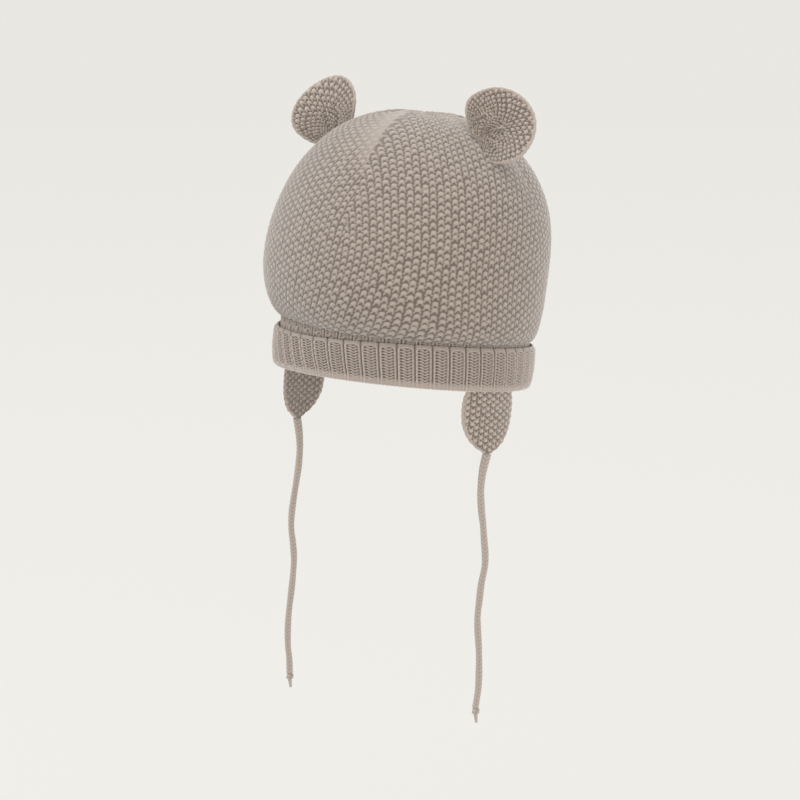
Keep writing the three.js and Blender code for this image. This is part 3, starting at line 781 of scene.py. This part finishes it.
@dataclass(frozen=True)
class Brim:
    """The ribbed band, folded up outside itself, as one closed shell."""

    ribs: int = 48
    cell: tuple[float, ...] = (
        0, 0.035, 0.07, 0.105, 0.145, 0.19, 0.235, 0.29, 0.37,
        0.45, 0.51, 0.56, 0.62, 0.7, 0.78, 0.84, 0.895, 0.95,
    )
    pitch: float = 9.16
    ridge_place: float = 3.65
    ridge_width: float = 0.55
    ridge_twist: float = 3.0
    groove_width: float = 0.45
    groove_depth: float = 0.7
    arch_start: float = 6.2
    arch_height: float = 2.3
    ladder_pitch: float = 1.55
    ladder_edge: float = 0.17
    ladder_sag: float = 0.6
    spots: tuple[tuple[float, float, float], ...] = ((1.4, 0.1, 0.1), (0.9, 0.58, 0.1), (1.0, 0.94, 0.08))
    edge_rows: int = 8
    face_rows: int = 62
    fold_rows: int = 15
    inner_rows: int = 10
    back_rows: int = 16
    edge_round: float = 0.9
    edge_flare: float = 0.55
    rib_depth: float = 1.8
    level: float = 0.72
    overlap: float = 1.3
    soft_share: float = 0.7
    soft_start: float = 20.5
    soft_reach: float = 3.0
    mean_radius: float = 70.0
    map_wales: float = 19.0
    map_row: float = 2.0
    lean_all: float = -0.07
    lean_tangent: float = -0.3
    lean_turn_deg: float = -30.0
    lean_spread_deg: float = 45.0

    def section(self, turn: Array) -> tuple[Array, Array, Array, Array]:
        """The folded section: cuff's inner top edge, its face, the fold, and the band up and down.

        Returns the inset, the height and the run for each row and column, and for each row how much
        of the relief it takes. The run is the distance down from the cuff's or the band's own top.
        """
        wall, slot, inset = FORM.rib_wall, FORM.cuff_slot, FORM.band_inset
        fold = inset / 2
        high = FORM.cuff_height - self.edge_round
        edge = np.linspace(0, 1, self.edge_rows + 1)[:-1]
        down = np.linspace(0, 1, self.face_rows)
        sweep = np.linspace(0, np.pi, self.fold_rows + 1)[1:]
        face_inset = self.edge_flare * (1 - down) ** 6 + 0.35 * FORM.cuff_tuck * step_up(down, 0.55, 1)
        edge_inset = wall + (face_inset[0] - wall) * edge
        middle = (face_inset[-1] + inset) / 2
        fold_inset = middle - (middle - face_inset[-1]) * np.cos(sweep)
        outer = np.concatenate([edge_inset, face_inset, fold_inset])
        edge_height = high + self.edge_round * np.sin(np.pi * edge)
        face_height = high - (high - fold) * down
        outer_height = np.concatenate([edge_height, face_height, fold - fold * np.sin(sweep)])
        outer_run = run_along(np.stack([outer, outer_height], axis=-1))
        band_top = FORM.band_top(turn)[None, :] + self.overlap
        sunk = FORM.dip(turn)[None, :] / (FORM.cuff_height - fold)
        inner_share = np.linspace(0, 1, self.inner_rows + 1)[1:, None]
        back_share = 1 - np.linspace(0, 1, self.back_rows)[:, None] ** 2
        foot = np.array([inset - slot / 2, inset])[:, None]
        heights = np.concatenate(
            [
                outer_height[:, None] - np.clip(outer_height[:, None] - fold, 0, None) * sunk,
                fold + (band_top - fold) * inner_share,
                inset + (band_top - inset) * back_share,
                foot + 0 * band_top,
            ]
        )
        inner, back = np.full(self.inner_rows, inset), np.full(self.back_rows, wall + slot)
        insets = np.concatenate([outer, inner, back, [wall + slot / 2, wall]])
        runs = np.concatenate([outer_run[:, None] + 0 * band_top, (band_top - heights)[len(outer) :]])
        taken = np.concatenate(
            [
                np.ones(self.edge_rows + self.face_rows),
                np.linspace(1, 0.35, self.fold_rows),
                np.full(self.inner_rows, 0.8),
                np.linspace(1, 0, self.back_rows),
                [0, 0],
            ]
        )
        return insets[:, None] + 0 * band_top, heights, runs, taken

    def relief(self, phase: Array, run: Array, arched: Array) -> Array:
        """Relief 0 to 1 of the broad rib, over the place across the rib and the run.

        Phase 0 is the thin groove between two ribs. A round ridge stands on each side of it and,
        where arched is 1, arches over to its neighbour below the top edge: with aside = distance
        from the rib's middle / ridge_place and arch = rise into the edge / arch_height, it lies
        where (aside^3 + arch^3)^(1/3) is 1. Between the ridges runs a ladder of purl lines, cosines
        of the run that sag off the middle, with small holes between them.
        """
        phase = phase[None, :]
        aside = np.abs(phase - 0.5) * self.pitch
        arch = arched * np.clip((self.arch_start - run) / self.arch_height, 0, None)
        reach = ((aside / self.ridge_place) ** 3 + arch**3) ** (1 / 3)
        from_ridge = (reach - 1) * self.ridge_place
        inside = step_up(-from_ridge, 0.25, 0.95)
        place = np.clip((phase - self.ladder_edge) / (1 - 2 * self.ladder_edge), 0, 1)
        sag = self.ladder_sag * bump(place - 0.6, 0.22)
        line = 0.5 + 0.5 * np.cos(FULL_TURN * (run / self.ladder_pitch - sag))
        spots = sum(depth * bump(place - where, spread) for depth, where, spread in self.spots)
        ladder = (0.34 + 0.5 * line - 0.3 * spots * (1 - 0.6 * line)) * inside
        twist = 0.9 + 0.1 * np.cos(FULL_TURN * (run / self.ridge_twist + 0.5 * (phase > 0.5)))
        ridge = bump(from_ridge, self.ridge_width) * twist
        total = (ridge**4 + np.clip(ladder, 0, 1) ** 4 + (0.5 * (1 - inside)) ** 4) ** 0.25
        return total * (1 - self.groove_depth * bump(self.pitch / 2 - aside, self.groove_width))

    def make(self, material: Material) -> None:
        """Builds the brim in place of its plain solid, its columns sheared along the leaning ribs."""
        phase = np.tile(np.array(self.cell), self.ribs)
        turn = (np.repeat(np.arange(self.ribs), len(self.cell)) + phase) * FULL_TURN / self.ribs
        inset, height, run, taken = self.section(turn)
        cuff_rows = self.edge_rows + self.face_rows + self.fold_rows
        cuff = (np.arange(len(taken)) < cuff_rows)[:, None]
        relief = self.relief(phase, run, cuff.astype(float))
        soft = self.soft_share * step_up(run, self.soft_start, self.soft_start + self.soft_reach) * cuff
        relief = blend(relief, self.level, soft)
        from_lean = turn_between(turn, np.radians(self.lean_turn_deg))
        lean = self.lean_all + self.lean_tangent * bump(from_lean, np.radians(self.lean_spread_deg))
        slide = np.where(cuff, np.clip(run, 0, FORM.cuff_height), FORM.cuff_height)
        leaned = turn - lean * (slide - FORM.cuff_height) / self.mean_radius
        form = on_oval(leaned, FORM.brim_breadth / 2 - inset, FORM.brim_length / 2 - inset, height)
        lift = (relief - self.level) * self.rib_depth * taken[:, None]
        points = FORM.worn(form - grid_normals(form, wrap=True) * lift[..., None])
        shell = Shell("brim_rib")
        stitch = np.stack([np.broadcast_to(turn * self.map_wales, run.shape), run / self.map_row], axis=-1)
        grid = shell.add(points, relief, stitch)
        shell.weave(grid, wrap=True)
        shell.weave(np.stack([grid[-1], grid[0]]), wrap=True)
        shell.stand_in(material, "brim", "rib_knit")


@dataclass(frozen=True)
class Ear:
    """A round two-layer ear, dished to the front, sewn on the crown along its base."""

    side: Side
    turn_deg: float
    climb: float
    lean_deg: float
    twist_deg: float
    pinch: tuple[float, float]
    rays_deg: tuple[float, ...]
    lobe: float
    crease_depth: float = 1.1
    spread_from: float = 15.0
    width: float = 45.0
    height: float = 38.0
    thickness: float = 6.0
    cup: float = 7.0
    cup_set: float = 0.35
    neck: float = 0.22
    lift: float = 0.4
    around: int = 240
    rings: int = 46
    wander: float = 0.15
    wale_wander: tuple[int, float] = (5, 9)
    row_wander: tuple[int, float] = (6, 9)
    rim_width: float = 1.3
    chain_level: float = 0.74
    chains: int = 34
    slides: int = 6
    slide_probe: float = 0.5
    touch: float = 1.003
    stitch: SeedStitch = SeedStitch(wale=3.4, row=1.75, shake=0.16, seed=21, depth=1.35)

    def axes(self) -> tuple[Array, Array, Array, Array]:
        """Seat on the crown, and the ear's directions across, upwards and to its front."""
        turn = self.side.value * np.radians(self.turn_deg)
        step = 0.01
        seat, east, west, above, below = (
            FORM.crown(np.array(turn + around), np.array(self.climb + up))
            for around, up in ((0, 0), (step, 0), (-step, 0), (0, step), (0, -step))
        )
        normal = np.cross(east - west, above - below)
        normal[1] = 0
        normal = unit(normal)
        across = np.array([normal[2] * self.side.value, 0, -normal[0] * self.side.value])
        lean = np.radians(self.lean_deg)
        upwards = normal * np.cos(lean) + np.array([0, np.sin(lean), 0])
        twist = np.radians(self.twist_deg)
        turned = across * np.cos(twist) + np.cross(upwards, across) * np.sin(twist)
        turned = turned + upwards * (upwards @ across) * (1 - np.cos(twist))
        front = np.cross(upwards, turned) * -self.side.value
        return seat, turned, upwards, front

    def pad(self, angle: Array, share: Array, face: float) -> tuple[Array, Array, Array]:
        """One face of the dished pad, and each point's place across and up the ear in millimetres.

        Across = sin(angle) share and up = cos(angle) share. The neck narrows the lower half, the cup
        bends the sides forward with across^2, and the thickness follows sqrt(1 - share^4).
        """
        seat, turned, upwards, front = self.axes()
        across = np.sin(angle) * share
        up = np.cos(angle) * share
        neck = 1 - self.neck * np.clip(-up, 0, None) ** 1.5
        cup = self.cup * (across**2 - self.cup_set + self.cup_set * np.clip(up, 0, None) ** 2)
        thick = self.thickness / 2 * np.sqrt(np.clip(1 - share**4, 0, 1))
        neck = neck + self.lobe * np.clip(-across, 0, None) * bump(up + 0.5, 0.45)
        x = self.width / 2 * neck * across
        y = self.height / 2 * up + self.height * self.lift
        z = cup + face * thick - self.crease(x, y)
        points = seat + x[..., None] * turned + y[..., None] * upwards + z[..., None] * front
        return points, x, y

    def crease(self, x: Array, y: Array) -> Array:
        """Depth of the folds that fan out from the pinch: a bump over the distance to each ray."""
        depth = np.zeros_like(x)
        for ray in np.radians(self.rays_deg):
            along = (x - self.pinch[0]) * np.cos(ray) + (y - self.pinch[1]) * np.sin(ray)
            aside = (y - self.pinch[1]) * np.cos(ray) - (x - self.pinch[0]) * np.sin(ray)
            fade = step_up(along, 0.0, 4.0) * (1 - step_up(along, 10.0, 24.0))
            depth = depth + self.crease_depth * bump(aside, 1.0) * fade
        return depth

    def seated(self, points: Array, upwards: Array) -> Array:
        """Slides points that lie inside the crown along the ear until they touch its outer face."""
        slide = np.zeros(points.shape[:-1])
        for _ in range(self.slides):
            here = points + slide[..., None] * upwards
            reach = FORM.crown_reach(here)
            ahead = FORM.crown_reach(here + self.slide_probe * upwards)
            slope = np.clip((ahead - reach) / self.slide_probe, 0.004, None)
            slide = np.clip(slide + (self.touch - reach) / slope, 0, self.width)
        return points + slide[..., None] * upwards

    def knitting(self, turn: Array, x: Array, y: Array) -> tuple[Array, Array]:
        """Wale and row of every point, drawn round the pinch with stitches that grow away from it.

        The wale follows the angle at the pinch, and the row the logarithm of
        1 + distance / spread_from.
        """
        east, north = x - self.pinch[0], y - self.pinch[1]
        radius = np.hypot(east, north)
        full = self.width / 2 + self.spread_from
        wale = np.arctan2(east, north) * full / self.stitch.wale
        row = full / self.stitch.row * np.log1p(radius / self.spread_from)
        wale = wale + self.wander * yarn_noise(2 * turn, radius, *self.wale_wander)
        row = row + self.wander * yarn_noise(2 * turn, radius, *self.row_wander)
        return wale, row

    def make(self, material: Material) -> None:
        angle = (FULL_TURN * np.arange(self.around) / self.around)[None, :]
        share = (np.sin(np.linspace(0, QUARTER_TURN, self.rings + 1)[1:]) ** 0.9)[:, None]
        upwards = self.axes()[2]
        shell = Shell(f"ear_{self.side.word}_knit")
        rim = bump((1 - share) * self.width / 2, self.rim_width)
        chain = self.chain_level + 0.09 * np.cos(angle * self.chains + 2 * np.sin(5 * angle))
        grids = []
        for face in (1.0, -1.0):
            points, x, y = self.pad(angle, share, face)
            wale, row = self.knitting(angle, x, y)
            # In the folds the relief drops by up to 0.3: this sinks the surface a little and, through the
            # colour ramp, paints shade into the folds.
            folded = np.clip(self.crease(x, y) / self.crease_depth, 0, 1)
            relief = blend(self.stitch.relief(wale, row) * (1 - 0.3 * folded), chain, rim)
            out = grid_normals(points, wrap=True) * -face * -self.side.value
            height = (relief - self.stitch.level) * self.stitch.depth
            lifted = self.seated(points + out * height[..., None], upwards)
            grids.append(shell.add(FORM.worn(lifted), relief, np.stack([wale, row], axis=-1)))
            middle = self.pad(np.zeros(1), np.zeros(1), face)[0]
            shell.cap(grids[-1][0], FORM.worn(middle), 0.8, flip=face > 0)
        shell.weave(grids[0], wrap=True)
        shell.weave(grids[1][::-1], wrap=True)
        shell.weave(np.stack([grids[0][-1], grids[1][-1]]), wrap=True)
        piece = shell.stand_in(material, f"ear_{self.side.word}", "ear_knit")


@dataclass(frozen=True)
class Flap:
    """A tongue of seed stitch with a chain edge, knitted on under the fold."""

    side: Side
    width: float = 39.0
    drop: float = 32.0
    thickness: float = 2.8
    turn_deg: float = 85.0
    edge_power: float = 0.6
    tuck: float = 2.0
    around: int = 132
    rows: int = 84
    rim_width: float = 2.0
    chain_level: float = 0.72
    chain_pitch: float = 3.3
    smoothing: int = 7
    stitch: SeedStitch = SeedStitch(wale=3.3, row=1.7, shake=0.14, seed=33, depth=1.2)

    OUTLINE = (
        (0.0, 0.85), (0.1, 0.95), (0.23, 1.0), (0.39, 1.0), (0.56, 0.96),
        (0.7, 0.84), (0.8, 0.71), (0.89, 0.52), (0.96, 0.3), (1.0, 0.13),
    )

    def point(self, across: Array, drop: Array, depth: Array) -> Array:
        """A point of the flap, which follows the round of the brim below the fold."""
        half_breadth = FORM.brim_breadth / 2 - FORM.fold_inset + depth
        half_length = FORM.brim_length / 2 - FORM.fold_inset + depth
        sign = self.side.value
        turn = sign * np.radians(self.turn_deg) + sign * across / ((half_breadth + half_length) / 2)
        return on_oval(turn, half_breadth, half_length, -drop)

    def tip(self) -> Array:
        """The lowest point of the flap, where its tie starts."""
        return self.point(np.array(0.0), np.array(FORM.seam_gap + self.drop), np.array(0.0))

    def make(self, material: Material) -> None:
        """Builds the flap in place of its plain solid, as a thick tongue with two faces.

        The place across a row is 0.35 cos(angle) plus 0.65 of an even share that falls from 1 at
        one edge to -1 at the other, so the columns crowd a little at the edges.
        """
        angle = FULL_TURN * np.arange(self.around) / self.around
        even = np.sign(np.cos(angle)) * np.abs(np.mod(angle, np.pi) - QUARTER_TURN) / QUARTER_TURN
        side_share = np.cos(angle) * 0.35 + even * 0.65
        face = np.sign(np.sin(angle)) * np.abs(np.sin(angle)) ** self.edge_power
        down = np.linspace(0, 1, self.rows)
        table = np.array(self.OUTLINE)
        half = np.interp(down, table[:, 0], table[:, 1]) * self.width / 2
        padded = np.pad(half, self.smoothing // 2, mode="edge")
        smooth = np.convolve(padded, np.ones(self.smoothing) / self.smoothing, mode="valid")[:, None]
        across = smooth * side_share[None, :]
        drop = FORM.seam_gap - self.tuck + (self.drop + self.tuck) * down[:, None] + 0 * across
        depth = self.thickness / 2 * face[None, :] * np.clip(smooth / 6, 0.5, 1)
        form = self.point(across, drop, depth)
        wale, row = across / self.stitch.wale, drop / self.stitch.row
        rim = bump(smooth - np.abs(across), self.rim_width)
        chain = self.chain_level + 0.16 * np.cos(FULL_TURN * drop / self.chain_pitch)
        relief = blend(self.stitch.relief(wale, row), chain, rim)
        height = (relief - self.stitch.level) * self.stitch.depth
        points = FORM.worn(form + grid_normals(form, wrap=True) * height[..., None])
        shell = Shell(f"flap_{self.side.word}_knit")
        grid = shell.add(points, relief, np.stack([wale, row], axis=-1))
        shell.weave(grid, wrap=True)
        root = self.point(np.zeros(1), np.full(1, FORM.seam_gap - self.tuck), np.zeros(1))
        shell.cap(grid[0], FORM.worn(root), 0.3, flip=True)
        shell.cap(grid[-1], FORM.worn(self.tip()), 0.5, flip=False)
        shell.stand_in(material, f"flap_{self.side.word}", "flap_knit")


@dataclass(frozen=True)
class Tie:
    """A knitted cord that hangs from a flap's tip, with a knot at its end.

    The route is given as sway across and drop below the flap's tip, in metres.
    """

    side: Side
    flap: Flap
    route: tuple[tuple[float, float], ...]
    length: float
    sway_turn_deg: float = 43.0
    diameter: float = 3.6
    sides: int = 20
    step: float = 0.42
    finer: int = 24
    knot_size: float = 1.35
    knot_sides: int = 10
    tail_drop: float = 5.0

    def path(self) -> Array:
        """Catmull-Rom line through the route's points, in metres, a step apart."""
        start = FORM.worn(self.flap.tip()) - [0, 0, FORM.seam_gap * MM]
        turn = np.radians(self.sway_turn_deg)
        route = np.array(self.route)
        sway = np.array([np.cos(turn), np.sin(turn), 0])
        points = start + route[:, :1] * sway - route[:, 1:] * np.array([0, 0, 1])
        ends = np.concatenate([[2 * points[0] - points[1]], points, [2 * points[-1] - points[-2]]])
        share = np.linspace(0, 1, self.finer, endpoint=False)[None, :, None]
        a, b, c, d = (ends[k : len(ends) - 3 + k][:, None] for k in range(4))
        curve = 0.5 * (
            2 * b + (c - a) * share + (2 * a - 5 * b + 4 * c - d) * share**2
            + (3 * b - a - 3 * c + d) * share**3
        )
        curve = np.concatenate([curve.reshape(-1, 3), points[-1:]])
        run = run_along(curve)
        even = np.linspace(0, run[-1], int(run[-1] / (self.step * MM)) + 1)
        return np.stack([np.interp(even, run, curve[:, axis]) for axis in range(3)], axis=-1)

    def knot(self, end: Array, material: Material) -> bpy.types.Object:
        """An overhand knot: a tube along a trefoil line, with its short end hanging out below.

        The trefoil is (sin t + 1.1 sin 2t, cos t - 1.1 cos 2t) / 2 times the knot's size, and rises
        and falls by sin 3t.
        """
        turn = np.linspace(0, FULL_TURN, 97)[:-1]
        trefoil = np.stack(
            [
                self.knot_size * (np.sin(turn) + 1.1 * np.sin(2 * turn)) / 2,
                self.knot_size * (np.cos(turn) - 1.1 * np.cos(2 * turn)) / 2,
                -1.6 - 1.3 * np.sin(3 * turn) * (0.62 + 0.38 * np.cos(3 * turn)),
            ],
            axis=-1,
        )
        shell = Shell(f"tie_knot_{self.side.word}_yarn")
        corner = FULL_TURN * np.arange(self.knot_sides) / self.knot_sides
        along = unit(np.roll(trefoil, -1, axis=0) - np.roll(trefoil, 1, axis=0))
        first = unit(np.cross(along, [0.3, 0.2, 1.0]))
        radius = 0.95 + 0.12 * np.cos(9 * turn)
        loops = tube(trefoil, first, np.cross(along, first), radius[:, None], corner)
        grid = shell.add(end + loops * MM, 0.75, NO_STITCH)
        shell.weave(grid, wrap=True)
        shell.weave(np.stack([grid[-1], grid[0]]), wrap=True)
        down = np.linspace(0, 1, 9)
        tail = np.stack([0.5 * down, 0.2 * down, -2.8 - self.tail_drop * down], axis=-1)
        size = 1.15 * (1 - 0.35 * down) * (1 + 0.1 * np.cos(20 * down))
        axes = np.eye(3)
        rope = shell.add(end + tube(tail, axes[:1], axes[1:2], size[:, None], corner) * MM, 0.7, NO_STITCH)
        shell.weave(rope[::-1], wrap=True)
        shell.cap(rope[0], end + tail[0] * MM, 0.6, flip=False)
        shell.cap(rope[-1], end + (tail[-1] - 0.5 * axes[2]) * MM, 0.6, flip=True)
        return shell.stand_in(material, f"tie_knot_{self.side.word}", "tie_knit")

    def make(self, material: Material) -> None:
        """The relief is a chevron: a cosine of the run, shifted by a zigzag round the cord, with four
        grooves along it. The cord thickens towards its top.
        """
        path = self.path()
        along = unit(np.gradient(path, axis=0))
        turn = np.radians(self.sway_turn_deg)
        first = unit(np.cross(along, [-np.sin(turn), np.cos(turn), 0.0]))
        corner = FULL_TURN * np.arange(self.sides) / self.sides
        run = np.linspace(0, len(path) * self.step, len(path))[:, None]
        wide = self.diameter / 2 * (1 + 0.3 * np.exp(-run / 14) + 0.05 * np.sin(run / 3.7))
        from_groove = np.mod(corner / np.pi * 2 + 0.5, 1) - 0.5
        chevron = 2 * np.abs(from_groove)[None, :]
        relief = 0.66 + 0.26 * np.cos(FULL_TURN * (run / 2.2 + 0.6 * chevron))
        relief = np.clip(relief * (1 - 0.3 * bump(from_groove, 0.12))[None, :], 0, 1)
        radius = (wide + (relief - 0.6) * 0.5) * MM
        shell = Shell(f"tie_{self.side.word}_cord")
        stitch = np.stack(np.broadcast_arrays(corner[None, :], run), axis=-1)
        grid = shell.add(tube(path, first, np.cross(along, first), radius, corner), relief, stitch)
        shell.weave(grid, wrap=True)
        shell.cap(grid[0], path[0], 0.5, flip=True)
        shell.cap(grid[-1], path[-1], 0.5, flip=False)
        piece = shell.stand_in(material, f"tie_{self.side.word}", "tie_knit")
        knot = self.knot(path[-1] - [0, 0, FORM.seam_gap * MM], material)


ROUTE_LEFT = (
    (0, 0), (-0.0013, 0.005), (-0.0023, 0.010), (-0.0030, 0.016), (-0.0032, 0.022), (-0.0028, 0.030),
    (-0.0019, 0.038), (-0.0013, 0.046), (-0.0007, 0.054), (-0.0009, 0.061), (-0.0026, 0.070),
    (-0.0036, 0.079), (-0.0045, 0.088), (-0.0043, 0.097), (-0.0037, 0.107), (-0.0036, 0.118),
    (-0.0040, 0.128), (-0.0054, 0.138),
)
ROUTE_RIGHT = (
    (0, 0), (0.0008, 0.006), (0.0013, 0.012), (0.0014, 0.018), (0.0008, 0.026), (-0.0003, 0.034),
    (-0.0019, 0.044), (-0.0033, 0.054), (-0.0037, 0.063), (-0.0028, 0.072), (-0.0023, 0.081),
    (-0.0030, 0.091), (-0.0041, 0.101), (-0.0054, 0.112), (-0.0061, 0.122), (-0.0061, 0.131),
    (-0.0054, 0.139), (-0.0052, 0.1475),
)


@dataclass(frozen=True)
class Lamp:
    """A square soft light: its place by the camera's directions and by height, its size and power."""

    name: str
    back: float
    right: float
    up: float
    raised: float
    size: float
    power: float


LAMPS = (
    Lamp("key", back=0.6, right=-1.0, up=1.8, raised=0.0, size=1.2, power=18),
    Lamp("low_fill", back=2.1, right=0.8, up=0.0, raised=-0.43, size=0.4, power=15),
)


@dataclass(frozen=True)
class Studio:
    """Pale sweep, soft lights and the camera at the photograph's angle. Lengths in metres."""

    azimuth_deg: float = 43.0
    elevation_deg: float = 11.0
    distance: float = 1.5
    frame_width: float = 0.432
    aim_right: float = -0.00043
    aim_up: float = -0.0134
    sensor_mm: float = 36.0
    floor: float = -0.32
    floor_radii: tuple[float, ...] = (1.0, 2.0, 3.0, 3.6, 4.1, 4.4, 4.5, 4.5)
    floor_heights: tuple[float, ...] = (0.0, 0.0, 0.0, 0.12, 0.5, 1.2, 2.4, 5.0)
    floor_sides: int = 96
    floor_colour: tuple[float, ...] = (0.2, 0.196, 0.189, 1)
    floor_glow: tuple[float, ...] = (0.838, 0.823, 0.791, 1)
    floor_glow_strength: float = 0.73
    surround: tuple[float, ...] = (1.0, 0.99, 0.975, 1)

    def axes(self) -> tuple[Array, Array, Array]:
        """Directions from the hat to the camera, to the picture's right and up."""
        azimuth, elevation = np.radians(self.azimuth_deg), np.radians(self.elevation_deg)
        flat = np.array([np.sin(azimuth), -np.cos(azimuth), 0])
        back = flat * np.cos(elevation) + np.array([0, 0, np.sin(elevation)])
        right = np.array([np.cos(azimuth), np.sin(azimuth), 0])
        return back, right, np.cross(back, right)

    def stand(self, data: bpy.types.ID, place: Array, behind: Array) -> bpy.types.Object:
        """Puts a camera or a lamp at a place, with its back to the given direction."""
        holder = bpy.data.objects.new(data.name, data)
        holder.location = Vector(place)
        holder.rotation_euler = Vector(behind).to_track_quat("Z", "Y").to_euler()
        bpy.context.scene.collection.objects.link(holder)
        return holder

    def camera(self) -> None:
        """Sets the camera at the fitted distance, aimed a little below the head opening."""
        back, right, up = self.axes()
        lens = bpy.data.cameras.new("studio_camera")
        lens.sensor_width = self.sensor_mm
        lens.lens = self.distance * self.sensor_mm / self.frame_width
        lens.clip_end = 50
        aim = self.aim_right * right + self.aim_up * up
        bpy.context.scene.camera = self.stand(lens, aim + back * self.distance, back)

    def lights(self) -> None:
        """Adds the lamps, each facing the hat."""
        back, right, up = self.axes()
        for lamp in LAMPS:
            light = bpy.data.lights.new(lamp.name, "AREA")
            light.size = lamp.size
            light.energy = lamp.power
            place = lamp.back * back + lamp.right * right + lamp.up * up + np.array([0, 0, lamp.raised])
            self.stand(light, place, place)

    def sweep(self) -> None:
        """The pale floor, a wide disc that rises far away on all sides."""
        around = FULL_TURN * np.arange(self.floor_sides) / self.floor_sides
        radius, height = np.array(self.floor_radii)[:, None], np.array(self.floor_heights)[:, None]
        x, y = radius * np.cos(around), radius * np.sin(around)
        shell = Shell("floor_sweep")
        grid = shell.add(np.stack([x, y, height + self.floor + 0 * x], axis=-1), 1.0, NO_STITCH)
        shell.weave(grid, wrap=True)
        shell.cap(grid[0], np.array([0.0, 0.0, self.floor]), 1.0, flip=True)
        material = bpy.data.materials.new("pale_floor")
        material.use_nodes = True
        shader = material.node_tree.nodes["Principled BSDF"]
        set_inputs(shader, {"Base Color": self.floor_colour, "Roughness": 0.9})
        set_inputs(shader, {"Emission Color": self.floor_glow, "Emission Strength": self.floor_glow_strength})
        shell.build(material)

    def make(self) -> None:
        """Sets the camera, the floor, the even surround and the soft lights."""
        self.camera()
        self.sweep()
        scene = bpy.context.scene
        scene.view_settings.view_transform = "Standard"
        world = bpy.data.worlds.new("studio")
        world.use_nodes = True
        set_inputs(world.node_tree.nodes["Background"], {"Color": self.surround, "Strength": 1.0})
        scene.world = world
        self.lights()


# In every finish the flank and gap colours are painted shade for the sides of the stitches and the gaps
# between them.
SEED_YARN = KnitFinish(
    "seed_yarn", top=(0.39, 0.331, 0.286), flank=(0.325, 0.271, 0.232), gap=(0.14, 0.111, 0.092)
)
# The seed yarn's colours made about 15 per cent brighter: painted light on the ears and flaps, which get less
# light than the crown.
SMALL_YARN_PAINTED_LIGHTER = KnitFinish(
    "ear_and_flap_yarn_painted_lighter", top=(0.45, 0.382, 0.33), flank=(0.38, 0.316, 0.271), gap=(0.16, 0.127, 0.105)
)
RIB_YARN = KnitFinish(
    "rib_yarn", top=(0.52, 0.44, 0.387), flank=(0.35, 0.291, 0.252), gap=(0.09, 0.071, 0.06)
)
CORD_YARN = KnitFinish(
    "cord_yarn", top=(0.47, 0.405, 0.355), flank=(0.38, 0.32, 0.28), gap=(0.2, 0.16, 0.135)
)
EARS = (
    Ear(
        Side.LEFT, turn_deg=76, climb=0.555, lean_deg=17, twist_deg=2,
        pinch=(-8, 4), rays_deg=(63, 43, 24, 2), lobe=0.16,
    ),
    Ear(
        Side.RIGHT, turn_deg=70, climb=0.555, lean_deg=14, twist_deg=20,
        pinch=(0, -4), rays_deg=(84, 110), lobe=0.0, width=41, height=43, lift=0.37,
    ),
)
TIES = (
    Tie(Side.LEFT, Flap(Side.LEFT), ROUTE_LEFT, length=0.139),
    Tie(Side.RIGHT, Flap(Side.RIGHT), ROUTE_RIGHT, length=0.149),
)


def main() -> None:
    """Builds the studio and the hat's pieces in order, from the ties to the crown."""
    logging.basicConfig(level=logging.INFO, format="%(message)s")
    Studio().make()
    seed, small, rib, cord = (yarn.material() for yarn in (SEED_YARN, SMALL_YARN_PAINTED_LIGHTER, RIB_YARN, CORD_YARN))
    for tie in TIES:
        tie.make(cord)
        tie.flap.make(small)
    Brim().make(rib)
    for ear in EARS:
        ear.make(small)
    Crown().make(seed)


if __name__ == "__main__":
    main()
